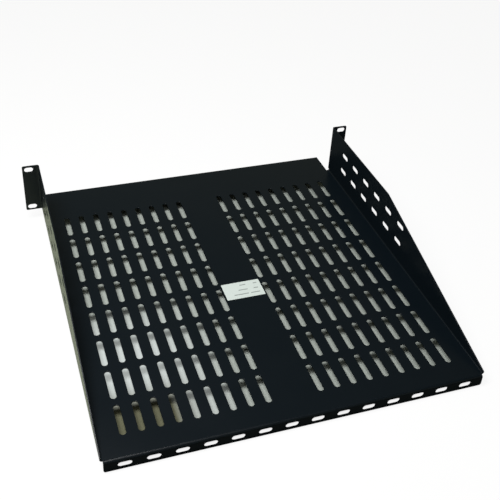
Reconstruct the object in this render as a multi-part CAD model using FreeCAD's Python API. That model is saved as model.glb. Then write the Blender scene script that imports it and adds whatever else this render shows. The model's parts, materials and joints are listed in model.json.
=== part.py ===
import FreeCAD, Part
import math
import os
from FreeCAD import Placement, Rotation, Vector

# Cantilever shelf for a 19 inch equipment rack. One blank of sheet steel is cut, slotted and folded:
# two side walls go up from the tray, an ear turns out from the front end of each wall, and a flange
# goes down along the front and the back of the tray. Only the ears are fastened, to the front posts.
#
# Millimetres. +X runs across the rack, +Y comes forward out of it and +Z is up. The origin is midway
# between the four ear slots, on the face of the ears that seats against the posts.

# Sheet
sheet = 1.5                  # thickness of the steel
inner_radius = 1.5           # inside radius of every fold

# Rack
rack_unit = 44.45            # height of one unit of the rack
units_high = 2               # units that the shelf fills
panel_gap = 0.8              # height that it leaves free for its neighbours
hole_span = 465.1            # between the two columns of holes in the posts
ear_overhang = 8.75          # column of holes out to the outer edge of each ear
top_hole_drop = 6.35         # top of a unit down to its highest hole

# Body
body_width = 440.0           # over the outer faces of the side walls
depth_in_rack = 450.0        # seat of the ears back to the outer face of the back flange
lip_reach = 38.0             # seat of the ears forward to the outer face of the front flange
flange_depth = 14.5          # top of the tray down to the lower edge of both flanges

# Side walls
level_top_length = 183.5     # level top edge, from the seat back to the start of the slope
kink_radius = 8.0            # rounds the top edge where the slope starts
tip_height = 2.5             # wall left standing above the tray at its back end

# Edges and reliefs
ear_foot = 2.0               # top of the tray up to the lower edge of the ears
ear_corner_radius = 2.0      # outer corners of the ears
ear_relief = 1.5             # gap in the wall's fold line behind each ear fold
lip_inset = 2.0              # sides of the front lip, inboard of the wall's fold line
back_relief = 0.5            # gap between the back end of each wall and the back flange's fold
back_inset = 3.0             # ends of the back flange, inboard of the walls' outer faces
flange_corner_radius = 2.5   # lower corners of both flanges

# Vent slots in the tray, which run front to back in two fields either side of a plain strip
vent_length = 41.0
vent_width = 7.0
vent_pitch_across = 20.0
vent_pitch_along = 50.0
vent_middle_strip = 54.0     # plain strip between the two fields
vent_side_margin = 22.0      # least distance from the outer face of a wall
vent_end_margin = 25.0       # least distance from the seat and from the back flange

# Slots in the side walls, two rows under the top edge
wall_slot_length = 18.0
wall_slot_width = 7.0
wall_slot_pitch = 35.0
wall_slot_start = 50.5       # seat back to the middle of the first slot
wall_row_heights = (25.5, 50.5)
wall_slot_margin = 5.0       # least metal between the upper row and the sloping edge

# Slots along the two flanges
flange_slot_length = 15.0
flange_slot_width = 7.0
flange_slot_pitch = 30.0
flange_slot_web = 3.0        # metal left under the slots
flange_slot_margin = 10.0    # least distance from the end of a flange

# Slots in the ears for the rack screws
ear_slot_length = 12.0
ear_slot_width = 7.0

# Facets in each round end of the vent, wall and flange slots, tangent to its half circle
end_facets = 5

# Levels. The lower ear slots meet the middle hole of the lowest unit, the upper ones the top hole of
# the highest unit.
lower_hole = rack_unit / 2
upper_hole = units_high * rack_unit - top_hole_drop
bay_floor = -(lower_hole + upper_hole) / 2
bottom_edge = bay_floor + panel_gap / 2
top_edge = bay_floor + units_high * rack_unit - panel_gap / 2
tray_top = bottom_edge + flange_depth
wall_height = top_edge - tray_top

# Faces and fold lines
fold_reach = inner_radius + sheet
wall_outer = body_width / 2
wall_inner = wall_outer - sheet
side_fold_line = wall_outer - fold_reach
back_face = -depth_in_rack
front_face = lip_reach
back_fold_line = back_face + fold_reach
front_fold_line = front_face - fold_reach
relief_end = -inner_radius - ear_relief
wall_back_end = back_fold_line + back_relief

ACROSS = Vector(1, 0, 0)
FORWARD = Vector(0, 1, 0)
UP = Vector(0, 0, 1)


def lying(z):
    """Place a plate flat, its local axes across and forward, its lower face at height z."""
    return Placement(Vector(0, 0, z), Rotation(ACROSS, FORWARD, UP, "ZXY"))


def facing(y):
    """Place a plate upright across the rack, its local axes across and up, its front face at y."""
    return Placement(Vector(0, y, tray_top), Rotation(ACROSS, UP, -FORWARD, "ZXY"))


def sideways(x):
    """Place a plate upright along the rack, its local axes forward and up, its inner face at x."""
    return Placement(Vector(x, 0, tray_top), Rotation(FORWARD, UP, ACROSS, "ZXY"))


def corner_arc(before, corner, after, radius):
    """Arc that rounds the corner between two straight edges."""
    back = (before - corner).normalize()
    ahead = (after - corner).normalize()
    half_angle = back.getAngle(ahead) / 2
    reach = radius / math.tan(half_angle)
    inward = (back + ahead).normalize()
    middle = corner + inward * (radius / math.sin(half_angle) - radius)
    return Part.Arc(corner + back * reach, middle, corner + ahead * reach).toShape()


def outline(corners):
    """Closed wire through corners given as (u, v, radius); a radius of 0 leaves a corner sharp."""
    points = [Vector(u, v, 0) for u, v, radius in corners]
    arcs = {}
    for index, (u, v, radius) in enumerate(corners):
        if radius > 0:
            after = points[(index + 1) % len(points)]
            arcs[index] = corner_arc(points[index - 1], points[index], after, radius)
    edges = []
    for index, point in enumerate(points):
        following = (index + 1) % len(points)
        start = arcs[index].Vertexes[-1].Point if index in arcs else point
        end = arcs[following].Vertexes[0].Point if following in arcs else points[following]
        if index in arcs:
            edges.append(arcs[index])
        edges.append(Part.makeLine(start, end))
    return Part.Wire(edges)


def slot_end_points(length, width):
    """Corners of the facets that make up the right-hand round end of a slot about the origin."""
    radius = width / 2
    step = math.pi / (end_facets + 1)
    reach = radius / math.cos(step / 2)
    centre = length / 2 - radius
    angles = [(index + 0.5) * step - math.pi / 2 for index in range(end_facets + 1)]
    return [Vector(centre + reach * math.cos(angle), reach * math.sin(angle), 0) for angle in angles]


def slot(u, v, length, width):
    """Round-ended slot about (u, v), running along u, its ends laid out in facets."""
    right_end = slot_end_points(length, width)
    left_end = [-point for point in right_end]
    wire = Part.makePolygon(right_end + left_end + right_end[:1])
    wire.translate(Vector(u, v, 0))
    return wire


def turned_slot(u, v, length, width):
    """Round-ended slot about (u, v), running along v."""
    wire = slot(u, v, length, width)
    wire.rotate(Vector(u, v, 0), UP, 90)
    return wire


def screw_slot(u, v, length, width):
    """Slot for a screw about (u, v), running along u, its ends true half circles."""
    radius = width / 2
    reach = length / 2 - radius
    upper_left = Vector(u - reach, v + radius, 0)
    lower_left = Vector(u - reach, v - radius, 0)
    lower_right = Vector(u + reach, v - radius, 0)
    upper_right = Vector(u + reach, v + radius, 0)
    left_end = Part.Arc(upper_left, Vector(u - length / 2, v, 0), lower_left)
    right_end = Part.Arc(lower_right, Vector(u + length / 2, v, 0), upper_right)
    edges = [left_end.toShape(), Part.makeLine(lower_left, lower_right)]
    edges += [right_end.toShape(), Part.makeLine(upper_right, upper_left)]
    return Part.Wire(edges)


def plate(edge, holes, placement):
    """Flat stretch of sheet with its holes, one thickness deep along its local third axis."""
    face = Part.makeFace([edge] + holes, "Part::FaceMakerBullseye")
    solid = face.extrude(Vector(0, 0, sheet))
    solid.Placement = placement
    return solid


def fold(corner, length, thickness, axis_point, axis):
    """Quarter turn of sheet: the edge of a plate, length by thickness, revolved about the fold's axis."""
    edge = Part.makePolygon([corner, corner + length, corner + length + thickness, corner + thickness, corner])
    return Part.Face(edge).revolve(axis_point, axis, 90)


def centred_row(low, high, item, pitch):
    """Middles of as many items as fit between two limits, in a row centred between them."""
    count = int((high - low - item) / pitch) + 1
    first = (low + high - (count - 1) * pitch) / 2
    return [first + index * pitch for index in range(count)]


def vent_slots():
    """Two fields of long slots, one either side of the tray's middle strip."""
    nearest = (vent_middle_strip + vent_width) / 2
    furthest = wall_outer - vent_side_margin - vent_width / 2
    columns = int((furthest - nearest) / vent_pitch_across) + 1
    rows = centred_row(back_face + vent_end_margin, -vent_end_margin, vent_length, vent_pitch_along)
    slots = []
    for column in range(columns):
        x = nearest + column * vent_pitch_across
        for y in rows:
            slots.append(turned_slot(x, y, vent_length, vent_width))
            slots.append(turned_slot(-x, y, vent_length, vent_width))
    return slots


def tray():
    """Flat bottom, with its narrower lip ahead of the ears."""
    lip_side = side_fold_line - lip_inset
    right = [
        (side_fold_line, back_fold_line, 0),
        (side_fold_line, relief_end, 0),
        (lip_side, relief_end, 0),
        (lip_side, front_fold_line, 0),
    ]
    left = [(-u, v, radius) for u, v, radius in reversed(right)]
    return plate(outline(right + left), vent_slots(), lying(tray_top - sheet))


def wall_top_at(y):
    """Height of a side wall's top edge above the tray, at a place along the shelf."""
    slope_start = -level_top_length
    along = (slope_start - y) / (slope_start - wall_back_end)
    return wall_height - max(along, 0) * (wall_height - tip_height)


def wall_slots():
    """Two rows of slots, which stop where the sloping edge comes too close."""
    highest = max(wall_row_heights) + wall_slot_width / 2 + wall_slot_margin
    slots = []
    y = -wall_slot_start
    while wall_top_at(y - wall_slot_length / 2) > highest:
        for height in wall_row_heights:
            slots.append(slot(y, height, wall_slot_length, wall_slot_width))
        y -= wall_slot_pitch
    return slots


def side_wall():
    """Upright wall on the right of the tray: level along the top, then sloping to its back end."""
    corners = [
        (wall_back_end, inner_radius, 0),
        (relief_end, inner_radius, 0),
        (relief_end, ear_foot, 0),
        (-inner_radius, ear_foot, 0),
        (-inner_radius, wall_height, 0),
        (-level_top_length, wall_height, kink_radius),
        (wall_back_end, tip_height, 0),
    ]
    return plate(outline(corners), wall_slots(), sideways(wall_inner))


def wall_fold():
    """Fold from the tray up into the right wall, between its two reliefs."""
    corner = Vector(side_fold_line, wall_back_end, tray_top - sheet)
    axis_point = Vector(side_fold_line, 0, tray_top + inner_radius)
    return fold(corner, FORWARD * (relief_end - wall_back_end), UP * sheet, axis_point, -FORWARD)


def ear():
    """Right ear, with a slot at each of its two rack holes."""
    start = wall_outer + inner_radius
    end = hole_span / 2 + ear_overhang
    corners = [
        (start, ear_foot, 0),
        (end, ear_foot, ear_corner_radius),
        (end, wall_height, ear_corner_radius),
        (start, wall_height, 0),
    ]
    slots = []
    for hole in (lower_hole, upper_hole):
        height = bay_floor + hole - tray_top
        slots.append(screw_slot(hole_span / 2, height, ear_slot_length, ear_slot_width))
    return plate(outline(corners), slots, facing(sheet))


def ear_fold():
    """Fold from the right wall out into its ear."""
    corner = Vector(wall_inner, -inner_radius, tray_top + ear_foot)
    axis_point = Vector(wall_outer + inner_radius, -inner_radius, 0)
    return fold(corner, UP * (wall_height - ear_foot), ACROSS * sheet, axis_point, -UP)


def flange(half_width, front_y):
    """Slotted flange that hangs across the rack, its front face at front_y."""
    corners = [
        (-half_width, -fold_reach, 0),
        (-half_width, -flange_depth, flange_corner_radius),
        (half_width, -flange_depth, flange_corner_radius),
        (half_width, -fold_reach, 0),
    ]
    height = flange_slot_web + flange_slot_width / 2 - flange_depth
    limit = half_width - flange_slot_margin
    places = centred_row(-limit, limit, flange_slot_length, flange_slot_pitch)
    slots = [slot(x, height, flange_slot_length, flange_slot_width) for x in places]
    return plate(outline(corners), slots, facing(front_y))


def flange_fold(half_width, fold_line, axis):
    """Fold from the tray down into a flange."""
    corner = Vector(-half_width, fold_line, tray_top - sheet)
    axis_point = Vector(0, fold_line, tray_top - fold_reach)
    return fold(corner, ACROSS * (2 * half_width), UP * sheet, axis_point, axis)


def shelf():
    """The whole folded sheet."""
    right_side = [side_wall(), wall_fold(), ear(), ear_fold()]
    left_side = [piece.mirror(Vector(0, 0, 0), ACROSS) for piece in right_side]
    lip_half_width = side_fold_line - lip_inset
    back_half_width = wall_outer - back_inset
    flanges = [
        flange(lip_half_width, front_face),
        flange_fold(lip_half_width, front_fold_line, -ACROSS),
        flange(back_half_width, back_face + sheet),
        flange_fold(back_half_width, back_fold_line, ACROSS),
    ]
    return tray().multiFuse(right_side + left_side + flanges).removeSplitter()


os.makedirs("parts", exist_ok=True)
shelf().Solids[0].exportStep("parts/shelf.step")
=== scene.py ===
import json
import math

import bmesh
import bpy
from bpy.props import FloatProperty, FloatVectorProperty, PointerProperty
from mathutils import Euler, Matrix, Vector


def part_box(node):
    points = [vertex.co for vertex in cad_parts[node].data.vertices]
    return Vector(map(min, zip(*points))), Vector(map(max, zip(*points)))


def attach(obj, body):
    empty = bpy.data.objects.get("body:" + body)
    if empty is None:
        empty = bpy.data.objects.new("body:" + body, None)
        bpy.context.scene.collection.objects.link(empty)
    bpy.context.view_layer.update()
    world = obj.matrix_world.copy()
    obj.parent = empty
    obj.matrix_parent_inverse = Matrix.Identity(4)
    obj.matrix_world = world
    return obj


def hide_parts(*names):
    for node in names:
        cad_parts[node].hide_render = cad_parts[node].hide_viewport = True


bl_info = {
    "name": "Cantilever Rack Shelf",
    "version": (1, 0, 0),
    "blender": (4, 5, 0),
    "location": "3D View > Sidebar > Rack Shelf",
    "description": "Dresses a folded, powder-coated rack shelf and sets it on a plain studio floor",
    "category": "Object",
}

# In the shelf's frame +X is right, +Y forward out of the rack and +Z up, in metres. The camera stands
# behind the shelf and looks down over its back edge.

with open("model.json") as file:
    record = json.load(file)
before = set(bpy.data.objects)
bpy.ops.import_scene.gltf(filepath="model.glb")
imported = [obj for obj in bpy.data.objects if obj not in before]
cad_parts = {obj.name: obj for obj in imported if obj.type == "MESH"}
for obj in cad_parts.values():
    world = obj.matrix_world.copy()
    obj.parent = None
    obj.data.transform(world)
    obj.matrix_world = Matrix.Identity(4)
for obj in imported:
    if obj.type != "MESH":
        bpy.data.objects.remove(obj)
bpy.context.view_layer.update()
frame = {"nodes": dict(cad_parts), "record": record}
SHELF_LOW, SHELF_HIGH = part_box("shelf")
MIDDLE_Y = (SHELF_LOW.y + SHELF_HIGH.y) / 2
MOUNTS = {mount["name"]: mount for mount in frame["record"]["mounts"]}
TRAY_TOP = MOUNTS["tray_top"]["pos_m"][2]
WHITE = (1.0, 1.0, 1.0)

# Rounding of the folded sheet, in metres and degrees
MERGE_DISTANCE = 1e-6      # corners of the loose triangles nearer than this are one corner
PLANE_DISTANCE = 2e-6      # a corner nearer than this to a plane lies in it
PLANE_DIGITS = 6           # decimals that tell two planes of the sheet apart
SAME_PLANE = 0.5           # angle between two triangles of one flat face, at most
WIDEST_STRIP = 0.0025      # mean width of the widest cut edge or strip of a fold
FACET_TURN = (20, 40)      # angle between two facets in the end of a slot, at least and at most
RIM_TURN = (60, 120)       # angle between a face of the sheet and a cut edge, at least and at most
BORDER = 1.2               # width of the border round each flat face, in edge roundings
BROAD_FACES_ONLY = 100     # weight that makes a corner's normal follow its broadest face

# Noises in the coat and in the label's paper
RIPPLE_GRAINS = 6          # width of the coat's slow ripple, in grains
GRAIN_RISE = 0.7           # part of the coat's bumps that is grain
RIPPLE_RISE = 0.3          # part of them that is ripple
RUB_TONE = 0.35            # how far the rubbed spots turn the coat to its worn colour
CLOUD_TONE = 0.45          # how far the clouds do
CLOUD_GLOSS = 0.10         # range of roughness that the clouds add to the coat
GRAIN_GLOSS = 0.08         # range of roughness that the grain adds to it
FIBRE_TONE = 0.35          # how far the fibres turn the paper to its aged colour
AGE_TONE = 0.4             # how far the aged spots do
FIBRE_GLOSS = 0.1          # range of roughness that the fibres add to the paper
AGED = 0.90                # brightness of aged paper beside fresh paper

LABEL_BARS = (             # left end, right end and row of each plain bar, from the label's middle
    (-0.002, 0.006, 0.009), (0.016, 0.021, 0.009),
    (-0.006, 0.006, 0.000), (0.014, 0.020, 0.000),
    (-0.014, 0.005, -0.008), (0.008, 0.020, -0.008))
LABEL_CORNER_FACES = 4     # narrow faces round each corner of the label

# Sockets of a Mix node that mixes colours
MIX_AMOUNT, MIX_FIRST, MIX_SECOND = 0, 6, 7
MIX_RESULT = 2


# ---------------------------------------------------------------------------------------------------
# Settings


class ShelfFinish(bpy.types.PropertyGroup):
    """Powder coat on the folded steel."""

    coat_color: FloatVectorProperty(
        name="Coat", description="Colour of the powder coat", subtype="COLOR", size=3,
        min=0, max=1, default=(0.0022, 0.0048, 0.0076))
    worn_color: FloatVectorProperty(
        name="Rubbed coat", description="Colour of the coat where handling has rubbed it", subtype="COLOR",
        size=3, min=0, max=1, default=(0.0042, 0.0074, 0.0102))
    roughness: FloatProperty(
        name="Roughness", description="Mean roughness of the coat", min=0, max=1, default=0.31)
    specular: FloatProperty(
        name="Specular", description="How strongly the coat mirrors what it faces", min=0, max=1,
        default=0.22)
    grain_size: FloatProperty(
        name="Grain", description="Width of the fine bumps in the coat", unit="LENGTH", default=0.0011)
    cloud_size: FloatProperty(
        name="Clouds", description="Width of the wide changes in gloss and tone", unit="LENGTH",
        default=0.11)
    rub_size: FloatProperty(
        name="Rubbed spots", description="Width of the spots that handling has rubbed", unit="LENGTH",
        default=0.035)
    bump_strength: FloatProperty(
        name="Bump strength", description="How clearly the bumps show", min=0, max=1, default=0.28)
    bump_height: FloatProperty(
        name="Bump height", description="Height of the highest bumps", unit="LENGTH", default=0.00025)
    edge_round: FloatProperty(
        name="Edge rounding", description="How far the coat rounds over a cut edge", unit="LENGTH",
        default=0.00025)
    slot_round: FloatProperty(
        name="Slot rounding", description="Rounds the facets in the ends of the slots", unit="LENGTH",
        default=0.00085)


class LabelSettings(bpy.types.PropertyGroup):
    """Unlettered paper label stuck on the tray."""

    width: FloatProperty(
        name="Width", description="Across the shelf", unit="LENGTH", default=0.050)
    depth: FloatProperty(
        name="Depth", description="Along the shelf", unit="LENGTH", default=0.030)
    thickness: FloatProperty(
        name="Thickness", description="Paper and glue together", unit="LENGTH", default=0.00015)
    corner_radius: FloatProperty(
        name="Corner radius", description="Of the label's four corners", unit="LENGTH", default=0.0012)
    setback: FloatProperty(
        name="Setback", description="From the seat of the ears back to the label's middle",
        unit="LENGTH", default=0.2378)
    paper_color: FloatVectorProperty(
        name="Paper", description="Colour of the paper", subtype="COLOR", size=3,
        min=0, max=1, default=(0.62, 0.685, 0.655))
    bar_color: FloatVectorProperty(
        name="Bars", description="Colour of the plain printed bars", subtype="COLOR", size=3,
        min=0, max=1, default=(0.27, 0.30, 0.29))
    bar_height: FloatProperty(
        name="Bar height", description="Of each plain printed bar", unit="LENGTH", default=0.0016)
    fibre_size: FloatProperty(
        name="Fibres", description="Width of the fibres in the paper", unit="LENGTH", default=0.0009)
    age_size: FloatProperty(
        name="Aged spots", description="Width of the spots where the paper is duller", unit="LENGTH",
        default=0.012)
    roughness: FloatProperty(
        name="Roughness", description="Least roughness of the paper", min=0, max=1, default=0.5)
    bump_strength: FloatProperty(
        name="Bump strength", description="How clearly the fibres stand up", min=0, max=1, default=0.2)
    bump_height: FloatProperty(
        name="Bump height", description="Height of the fibres", unit="LENGTH", default=0.0001)


class StageSettings(bpy.types.PropertyGroup):
    """Floor, lamps and camera."""

    floor_reach: FloatProperty(
        name="Floor", description="From the middle of the floor to each of its sides", unit="LENGTH",
        default=12.0)
    floor_color: FloatVectorProperty(
        name="Floor colour", description="Colour of the paper under the tray", subtype="COLOR", size=3,
        min=0, max=1, default=(0.45, 0.49, 0.45))
    # Painted light on the floor: paper made brighter under the tray's back left part, a painted pool of
    # light.
    glow_color: FloatVectorProperty(
        name="Lit floor", description="Colour of the brighter paper under the tray's back left part",
        subtype="COLOR", size=3, min=0, max=1, default=(0.74, 0.80, 0.79))
    painted_light_corner: FloatVectorProperty(
        name="Lit corner", description="Right front corner of the brighter part", subtype="XYZ_LENGTH",
        size=2, default=(-0.05, -0.215))
    painted_light_spread: FloatProperty(
        name="Lit edge", description="Over how much floor the brighter part fades in", unit="LENGTH",
        default=0.09)
    # Painted glow: the brighter part of the floor gives off light of its own, though it is no lamp.
    painted_glow_color: FloatVectorProperty(
        name="Even light", description="Light that the brighter part gives off by itself",
        subtype="COLOR", size=3, min=0, max=1, default=(0.58, 0.62, 0.60))
    evenness: FloatProperty(
        name="Evenness", description="How far the even light hides the tray's shadow on that part",
        min=0, max=1, default=0.6)
    shade_color: FloatVectorProperty(
        name="Shaded floor", description="Colour of the paper under the tray's back left corner",
        subtype="COLOR", size=3, min=0, max=1, default=(0.15, 0.15, 0.095))
    shade_corner: FloatVectorProperty(
        name="Shaded corner", description="Right front corner of the shaded part", subtype="XYZ_LENGTH",
        size=2, default=(-0.09, -0.335))
    shade_spread: FloatProperty(
        name="Shaded edge", description="Over how much floor the shaded part fades in", unit="LENGTH",
        default=0.04)
    beside_color: FloatVectorProperty(
        name="Floor beside", description="Tone of the floor left of the shelf, as the shelf mirrors it",
        subtype="COLOR", size=3, min=0, max=1, default=(0.52, 0.57, 0.42))
    far_color: FloatVectorProperty(
        name="Far floor", description="Tone of the floor on the other sides, as the shelf mirrors it",
        subtype="COLOR", size=3, min=0, max=1, default=(0.080, 0.090, 0.085))
    hidden_width: FloatProperty(
        name="Hidden width", description="Width of the floor that is seen only through the tray",
        unit="LENGTH", default=0.41)
    hidden_depth: FloatProperty(
        name="Hidden depth", description="Depth of the floor that is seen only through the tray",
        unit="LENGTH", default=0.452)
    soft_edge: FloatProperty(
        name="Soft edge", description="Over how much floor the hidden part changes to the open floor",
        unit="LENGTH", default=0.012)
    whiteness: FloatProperty(
        name="Whiteness", description="How far the open floor is lifted to plain white", min=0, max=1,
        default=0.90)
    key_power: FloatProperty(
        name="Key lamp", description="Power of the lamp above the shelf", unit="POWER", default=12.0)
    key_size: FloatVectorProperty(
        name="Key size", description="Width and length of the lamp above the shelf",
        subtype="XYZ_LENGTH", size=2, default=(0.45, 0.66))
    key_offset: FloatVectorProperty(
        name="Key place", description="Lamp's place from the middle of the tray", subtype="TRANSLATION",
        size=3, default=(-0.42, -0.07, 1.0))
    fill_power: FloatProperty(
        name="Fill lamp", description="Power of the broad lamp overhead", unit="POWER", default=7.0)
    fill_size: FloatVectorProperty(
        name="Fill size", description="Width and length of the broad lamp", subtype="XYZ_LENGTH", size=2,
        default=(1.6, 1.6))
    fill_offset: FloatVectorProperty(
        name="Fill place", description="Lamp's place from the middle of the tray", subtype="TRANSLATION",
        size=3, default=(-0.3, -0.6, 1.8))
    room_color: FloatVectorProperty(
        name="Room", description="Colour of the room that the coat mirrors", subtype="COLOR", size=3,
        min=0, max=1, default=(0.97, 1.0, 0.79))
    room_low: FloatProperty(
        name="Room at floor level", description="Brightness of the room around the shelf", default=0.29)
    room_high: FloatProperty(
        name="Room overhead", description="Brightness of the room above the shelf", default=0.05)
    room_start: FloatProperty(
        name="Low room", description="Height on a unit sphere up to which the room has its low tone",
        default=0.25)
    room_rise: FloatProperty(
        name="Room change", description="Height over which the tone changes from low to overhead",
        default=0.55)
    camera_place: FloatVectorProperty(
        name="Camera", description="Where the camera stands", subtype="TRANSLATION", size=3,
        default=(-0.2853, -0.9856, 0.6504))
    camera_turn: FloatVectorProperty(
        name="Camera turn", description="Which way the camera looks", subtype="EULER", size=3,
        default=(math.radians(56.083), math.radians(-2.521), math.radians(-17.980)))
    lens: FloatProperty(
        name="Lens", description="Focal length in millimetres", default=59.784)
    sensor: FloatProperty(
        name="Sensor", description="Width of the sensor in millimetres", default=36.0)
    camera_shift: FloatVectorProperty(
        name="Camera shift", description="Shift of the picture, in widths of the picture", size=2,
        default=(0.03, -0.12))
    camera_range: FloatVectorProperty(
        name="Camera range", description="Nearest and furthest distance that the camera sees",
        subtype="XYZ_LENGTH", size=2, default=(0.01, 50.0))


# ---------------------------------------------------------------------------------------------------
# Shader maths


class Socket:
    """An output socket that takes part in Python arithmetic by adding Math nodes."""

    def __init__(self, tree, output):
        self.tree = tree
        self.output = output

    def math(self, operation, other=None, swapped=False):
        first, second = (other, self) if swapped else (self, other)
        values = {0: first} if second is None else {0: first, 1: second}
        return self.tree.node("ShaderNodeMath", {"operation": operation}, values)

    def __add__(self, other):
        return self.math("ADD", other)

    def __radd__(self, other):
        return self.math("ADD", other, swapped=True)

    def __sub__(self, other):
        return self.math("SUBTRACT", other)

    def __rsub__(self, other):
        return self.math("SUBTRACT", other, swapped=True)

    def __mul__(self, other):
        return self.math("MULTIPLY", other)

    def __rmul__(self, other):
        return self.math("MULTIPLY", other, swapped=True)

    def __lt__(self, other):
        return self.math("LESS_THAN", other)

    def __abs__(self):
        return self.math("ABSOLUTE")


class Shader:
    """A material's or the world's node tree, to which nodes are added one call at a time."""

    def __init__(self, owner):
        owner.use_nodes = True
        self.nodes = owner.node_tree.nodes
        self.links = owner.node_tree.links
        self.nodes.clear()

    def node(self, kind, settings=None, inputs=None, output=0):
        """Add a node with its settings, then its inputs' values or links, and give one output."""
        made = self.nodes.new(kind)
        for name, value in (settings or {}).items():
            setattr(made, name, value)
        for name, value in (inputs or {}).items():
            if isinstance(value, Socket):
                self.links.new(value.output, made.inputs[name])
            else:
                made.inputs[name].default_value = value
        return Socket(self, made.outputs[output])

    def finish(self, shader, kind="ShaderNodeOutputMaterial"):
        """Link a shader to an output node."""
        made = self.nodes.new(kind)
        self.links.new(shader.output, made.inputs["Surface"])

    def object_point(self):
        """The point being shaded, in the shelf's own frame."""
        return self.node("ShaderNodeTexCoord", output="Object")

    def camera_ray(self):
        """1 where the camera looks at the surface directly, 0 in mirrored and scattered light."""
        return self.node("ShaderNodeLightPath", output="Is Camera Ray")

    def split(self, vector):
        """The three coordinates of a vector."""
        parts = self.node("ShaderNodeSeparateXYZ", inputs={"Vector": vector})
        return [Socket(self, output) for output in parts.output.node.outputs]

    def noise(self, point, size, detail=2.0, roughness=0.5):
        """Noise between 0 and 1 whose features have about a given size."""
        return self.node(
            "ShaderNodeTexNoise",
            inputs={"Vector": point, "Scale": 1 / size, "Detail": detail, "Roughness": roughness})

    def bump(self, height, strength, distance):
        """Normal of a surface raised by a height between 0 and 1."""
        return self.node(
            "ShaderNodeBump", inputs={"Strength": strength, "Distance": distance, "Height": height})

    def ramp(self, value, start, width):
        """0 below start, rising to 1 over the width."""
        rise = (value - start) * (1 / width)
        return rise.math("MINIMUM", 1.0).math("MAXIMUM", 0.0)

    def corner(self, x, y, place, width):
        """1 to the left of a place and behind it, falling to 0 over the width at both edges."""
        return self.ramp(0 - x, -place[0], width) * self.ramp(0 - y, -place[1], width)

    def mix_color(self, amount, first, second):
        """Blend of two colours, each of them a socket or three numbers."""
        first, second = [
            color if isinstance(color, Socket) else (*color, 1) for color in (first, second)]
        return self.node(
            "ShaderNodeMix", {"data_type": "RGBA"},
            {MIX_AMOUNT: amount, MIX_FIRST: first, MIX_SECOND: second}, output=MIX_RESULT)

    def mix_shader(self, amount, first, second):
        """Blend of two shaders."""
        return self.node("ShaderNodeMixShader", inputs={0: amount, 1: first, 2: second})

    def glow(self, color):
        """Light of a colour, the same wherever it is seen from."""
        return self.node("ShaderNodeEmission", inputs={"Color": (*color, 1), "Strength": 1.0})


def powder_coat(finish):
    """Fine-grained satin powder coat: tight bumps, cloudy gloss and a faint rubbed tone."""
    material = bpy.data.materials.new("black_powder_coat")
    shader = Shader(material)
    point = shader.object_point()
    grain = shader.noise(point, finish.grain_size, detail=3.0, roughness=0.6)
    ripple = shader.noise(point, finish.grain_size * RIPPLE_GRAINS, detail=1.0)
    clouds = shader.noise(point, finish.cloud_size, detail=3.0)
    rubbed = shader.noise(point, finish.rub_size, detail=4.0, roughness=0.7)
    tone = rubbed * RUB_TONE + clouds * CLOUD_TONE
    height = grain * GRAIN_RISE + ripple * RIPPLE_RISE
    least = finish.roughness - (CLOUD_GLOSS + GRAIN_GLOSS) / 2
    coat = shader.node("ShaderNodeBsdfPrincipled", inputs={
        "Base Color": shader.mix_color(tone, finish.coat_color, finish.worn_color),
        "Roughness": clouds * CLOUD_GLOSS + grain * GRAIN_GLOSS + least,
        "Normal": shader.bump(height, finish.bump_strength, finish.bump_height),
        "Specular IOR Level": finish.specular})
    shader.finish(coat)
    return material


def bar_mask(shader, label, point):
    """1 on the plain bars printed on the label, 0 on the paper between them."""
    x, y, _ = shader.split(point)
    printed = 0
    for start, end, row in LABEL_BARS:
        across = abs(x - (start + end) / 2) < (end - start) / 2
        printed = printed + across * (abs(y - (row - label.setback)) < label.bar_height / 2)
    return printed


def label_paper(label):
    """Matt pale label paper with fine fibres and a few plain grey bars."""
    material = bpy.data.materials.new("label_paper")
    shader = Shader(material)
    point = shader.object_point()
    fibres = shader.noise(point, label.fibre_size, detail=4.0, roughness=0.7)
    spots = shader.noise(point, label.age_size)
    aged = [channel * AGED for channel in label.paper_color]
    paper = shader.mix_color(fibres * FIBRE_TONE + spots * AGE_TONE, label.paper_color, aged)
    coat = shader.node("ShaderNodeBsdfPrincipled", inputs={
        "Base Color": shader.mix_color(bar_mask(shader, label, point), paper, label.bar_color),
        "Roughness": fibres * FIBRE_GLOSS + label.roughness,
        "Normal": shader.bump(fibres, label.bump_strength, label.bump_height)})
    shader.finish(coat)
    return material


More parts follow.
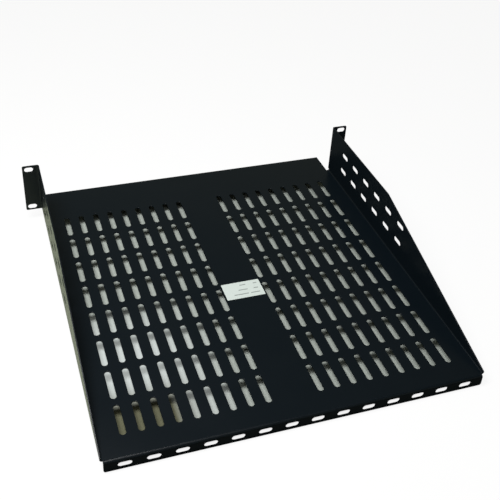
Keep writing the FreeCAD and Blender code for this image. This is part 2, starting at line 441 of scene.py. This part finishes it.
def floor_paint(stage):
    """Pale paper floor, plain white to the camera wherever the shelf doesn't stand over it.

    The other tones are those that show through the tray's openings and those that the coat mirrors.
    Under the tray's back left part the paper carries a painted pool of light, which also glows, and a
    painted shadow under its back left corner.
    """
    material = bpy.data.materials.new("studio_floor")
    shader = Shader(material)
    x, y, _ = shader.split(shader.object_point())
    half_width = stage.hidden_width / 2
    ends = shader.ramp(abs(y - MIDDLE_Y), stage.hidden_depth / 2, stage.soft_edge)
    outside = shader.ramp(abs(x), half_width, stage.soft_edge).math("MAXIMUM", ends)
    far = shader.ramp(x, half_width, stage.soft_edge).math("MAXIMUM", ends)
    beside = shader.ramp(0 - x, half_width, stage.soft_edge)
    # lit is a painted pool of light on the paper under the tray's back left part; shaded is a painted
    # shadow under its back left corner.
    lit = shader.corner(x, y, stage.painted_light_corner, stage.painted_light_spread)
    shaded = shader.corner(x, y, stage.shade_corner, stage.shade_spread)
    color = shader.mix_color(lit, stage.floor_color, stage.glow_color)
    color = shader.mix_color(shaded, color, stage.shade_color)
    color = shader.mix_color(beside, color, stage.beside_color)
    color = shader.mix_color(far, color, stage.far_color)
    open_floor = shader.camera_ray() * outside
    color = shader.mix_color(open_floor, color, WHITE)
    paint = shader.node("ShaderNodeBsdfDiffuse", inputs={"Color": color})
    # Painted glow: the painted pool of light also glows, so that the tray's shadow on it stays faint.
    even = lit * (1 - shaded) * (1 - outside) * stage.evenness
    paint = shader.mix_shader(even, paint, shader.glow(stage.painted_glow_color))
    shader.finish(shader.mix_shader(open_floor * stage.whiteness, paint, shader.glow(WHITE)))
    return material


# ---------------------------------------------------------------------------------------------------
# Meshes


def new_piece(name, mesh_builder, material):
    """Object at the origin whose mesh comes from a bmesh, with one material."""
    mesh = bpy.data.meshes.new(name)
    mesh_builder.to_mesh(mesh)
    mesh_builder.free()
    piece = bpy.data.objects.new(name, mesh)
    bpy.context.scene.collection.objects.link(piece)
    mesh.materials.append(material)
    return piece


def turn(edge):
    """Angle between the two faces at an edge, in degrees."""
    return math.degrees(edge.calc_face_angle(0))


def edges_turning(builder, least, most):
    """Edges where the surface turns by an angle between the two, in degrees."""
    return [edge for edge in builder.edges if least < turn(edge) < most]


def rim(faces):
    """Edges round a set of faces and round the holes in it."""
    return list({edge for face in faces for edge in face.edges
                 if sum(other in faces for other in edge.link_faces) == 1})


def flat_groups(builder):
    """Sets of neighbouring triangles that lie in one plane."""
    waiting = set(builder.faces)
    groups = []
    while waiting:
        group = set()
        front = [waiting.pop()]
        while front:
            face = front.pop()
            group.add(face)
            for edge in face.edges:
                if turn(edge) < SAME_PLANE:
                    front.extend(other for other in edge.link_faces if other in waiting)
                    waiting.difference_update(edge.link_faces)
        groups.append(group)
    return groups


def is_broad(group):
    """True for a face of the sheet, false for a cut edge or a strip of a fold."""
    area = sum(face.calc_area() for face in group)
    length = sum(edge.calc_length() for edge in rim(group)) / 2
    return area / length > WIDEST_STRIP


def plane_of(group):
    """Outward normal of a flat group and its distance from the origin, rounded to be compared."""
    face = next(iter(group))
    normal = Vector(round(value) for value in face.normal)
    return normal.freeze(), round(normal.dot(face.verts[0].co), PLANE_DIGITS)


def refill(builder, faces, normal):
    """Replace flat faces by new triangles that fill the same outline and leave the same holes."""
    edges = rim(faces)
    bmesh.ops.delete(builder, geom=list(faces), context="FACES")
    made = bmesh.ops.triangle_fill(
        builder, use_beauty=True, use_dissolve=False, edges=edges, normal=normal)
    return {item for item in made["geom"] if isinstance(item, bmesh.types.BMFace)}


def frame_flats(builder, planes, width):
    """Give each face of the sheet an even border along its edges and holes."""
    for normal, distance in planes:
        faces = {face for face in builder.faces
                 if all(abs(corner.co.dot(normal) - distance) < PLANE_DISTANCE
                        for corner in face.verts)}
        filled = refill(builder, faces, normal)
        bmesh.ops.inset_region(
            builder, faces=list(filled), thickness=width, depth=0, use_boundary=True,
            use_even_offset=True)
        refill(builder, filled, normal)


def bevel(builder, edges, offset, segments=2):
    """Round edges with a few narrow faces."""
    bmesh.ops.bevel(
        builder, geom=edges, offset=offset, offset_type="OFFSET", segments=segments, profile=0.5,
        affect="EDGES", material=-1)


def sheet_mesh(finish):
    """The folded sheet with true round slot ends and softly rounded cut edges."""
    builder = bmesh.new()
    builder.from_mesh(frame["nodes"]["shelf"].data)
    bmesh.ops.remove_doubles(builder, verts=builder.verts, dist=MERGE_DISTANCE)
    groups = flat_groups(builder)
    broad = [group for group in groups if is_broad(group)]
    planes = sorted({plane_of(group) for group in broad}, key=str)
    flats = set().union(*broad)
    diagonals = [edge for edge in builder.edges
                 if turn(edge) < SAME_PLANE and flats.isdisjoint(edge.link_faces)]
    bmesh.ops.dissolve_edges(builder, edges=diagonals, use_verts=False, use_face_split=False)
    bevel(builder, edges_turning(builder, *FACET_TURN), finish.slot_round)
    frame_flats(builder, planes, finish.edge_round * BORDER)
    bmesh.ops.recalc_face_normals(builder, faces=builder.faces)
    bevel(builder, edges_turning(builder, *RIM_TURN), finish.edge_round)
    return builder


def label_mesh(label):
    """Thin sheet of paper with rounded corners, lying on the tray."""
    builder = bmesh.new()
    bmesh.ops.create_cube(builder, size=1)
    bmesh.ops.scale(builder, vec=(label.width, label.depth, label.thickness), verts=builder.verts)
    middle = Vector((0, -label.setback, TRAY_TOP + label.thickness / 2))
    bmesh.ops.translate(builder, vec=middle, verts=builder.verts)
    upright = [edge for edge in builder.edges
               if abs(edge.verts[0].co.z - edge.verts[1].co.z) > label.thickness / 2]
    bevel(builder, upright, label.corner_radius, LABEL_CORNER_FACES)
    return builder


def settle_normals(piece):
    """Shade flat faces flat and carry the rounding on the narrow faces between them."""
    piece.data.shade_smooth()
    weigh = piece.modifiers.new("flat_faces", "WEIGHTED_NORMAL")
    weigh.mode = "FACE_AREA"
    weigh.weight = BROAD_FACES_ONLY
    weigh.keep_sharp = True


# ---------------------------------------------------------------------------------------------------
# Operators


class SHELF_OT_coat(bpy.types.Operator):
    """Coat the folded sheet"""

    bl_idname = "shelf.coat"
    bl_label = "Coat the shelf"

    def execute(self, context):
        finish = context.scene.shelf_finish
        shelf = new_piece("coated_shelf", sheet_mesh(finish), powder_coat(finish))
        settle_normals(shelf)
        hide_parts("shelf")
        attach(shelf, "root")
        return {"FINISHED"}


class SHELF_OT_label(bpy.types.Operator):
    """Stick the unlettered paper label on the tray"""

    bl_idname = "shelf.label"
    bl_label = "Stick the label"

    def execute(self, context):
        label = context.scene.shelf_label
        piece = new_piece("tray_label", label_mesh(label), label_paper(label))
        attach(piece, "root")
        return {"FINISHED"}


class SHELF_OT_stage(bpy.types.Operator):
    """Lay the floor, hang the lamps and set up the camera"""

    bl_idname = "shelf.stage"
    bl_label = "Set the stage"

    def execute(self, context):
        stage = context.scene.shelf_stage
        context.scene.view_settings.view_transform = "Standard"
        self.lay_floor(stage)
        self.light_room(context, stage)
        self.hang_lamps(context, stage)
        self.set_camera(context, stage)
        return {"FINISHED"}

    def lay_floor(self, stage):
        builder = bmesh.new()
        bmesh.ops.create_grid(builder, x_segments=1, y_segments=1, size=stage.floor_reach)
        bmesh.ops.translate(builder, vec=(0, 0, SHELF_LOW.z), verts=builder.verts)
        new_piece("floor", builder, floor_paint(stage))

    def light_room(self, context, stage):
        world = bpy.data.worlds.new("room")
        context.scene.world = world
        shader = Shader(world)
        _, _, up = shader.split(shader.node("ShaderNodeTexCoord", output="Generated"))
        height = shader.ramp(up, stage.room_start, stage.room_rise)
        mirrored = height * (stage.room_high - stage.room_low) + stage.room_low
        seen = shader.camera_ray()
        room = shader.node("ShaderNodeBackground", inputs={
            "Color": shader.mix_color(seen, stage.room_color, WHITE),
            "Strength": seen + (1 - seen) * mirrored})
        shader.finish(room, "ShaderNodeOutputWorld")

    def hang_lamps(self, context, stage):
        middle = Vector((0, MIDDLE_Y, TRAY_TOP))
        self.hang_lamp(
            context, "key_lamp", middle, stage.key_offset, stage.key_power, stage.key_size)
        self.hang_lamp(
            context, "fill_lamp", middle, stage.fill_offset, stage.fill_power, stage.fill_size)

    def hang_lamp(self, context, name, target, offset, power, size):
        data = bpy.data.lights.new(name, "AREA")
        data.shape = "ELLIPSE"
        data.size, data.size_y = size
        data.energy = power
        lamp = bpy.data.objects.new(name, data)
        lamp.location = target + Vector(offset)
        lamp.rotation_euler = (-Vector(offset)).to_track_quat("-Z", "Y").to_euler()
        context.scene.collection.objects.link(lamp)

    def set_camera(self, context, stage):
        data = bpy.data.cameras.new("camera")
        data.sensor_width = stage.sensor
        data.lens = stage.lens
        data.shift_x, data.shift_y = stage.camera_shift
        data.clip_start, data.clip_end = stage.camera_range
        camera = bpy.data.objects.new("camera", data)
        camera.location = stage.camera_place
        camera.rotation_euler = Euler(stage.camera_turn)
        context.scene.collection.objects.link(camera)
        context.scene.camera = camera


class SHELF_PT_panel(bpy.types.Panel):
    """Lists the steps that dress the shelf"""

    bl_label = "Rack Shelf"
    bl_idname = "SHELF_PT_panel"
    bl_space_type = "VIEW_3D"
    bl_region_type = "UI"
    bl_category = "Rack Shelf"

    def draw(self, context):
        for operator in (SHELF_OT_coat, SHELF_OT_label, SHELF_OT_stage):
            self.layout.operator(operator.bl_idname)


CLASSES = (
    ShelfFinish, LabelSettings, StageSettings, SHELF_OT_coat, SHELF_OT_label, SHELF_OT_stage,
    SHELF_PT_panel)


def register():
    for entry in CLASSES:
        bpy.utils.register_class(entry)
    bpy.types.Scene.shelf_finish = PointerProperty(type=ShelfFinish)
    bpy.types.Scene.shelf_label = PointerProperty(type=LabelSettings)
    bpy.types.Scene.shelf_stage = PointerProperty(type=StageSettings)


def unregister():
    del bpy.types.Scene.shelf_stage
    del bpy.types.Scene.shelf_label
    del bpy.types.Scene.shelf_finish
    for entry in reversed(CLASSES):
        bpy.utils.unregister_class(entry)


def main():
    register()
    bpy.ops.shelf.coat()
    bpy.ops.shelf.label()
    bpy.ops.shelf.stage()


if __name__ == "__main__":
    main()
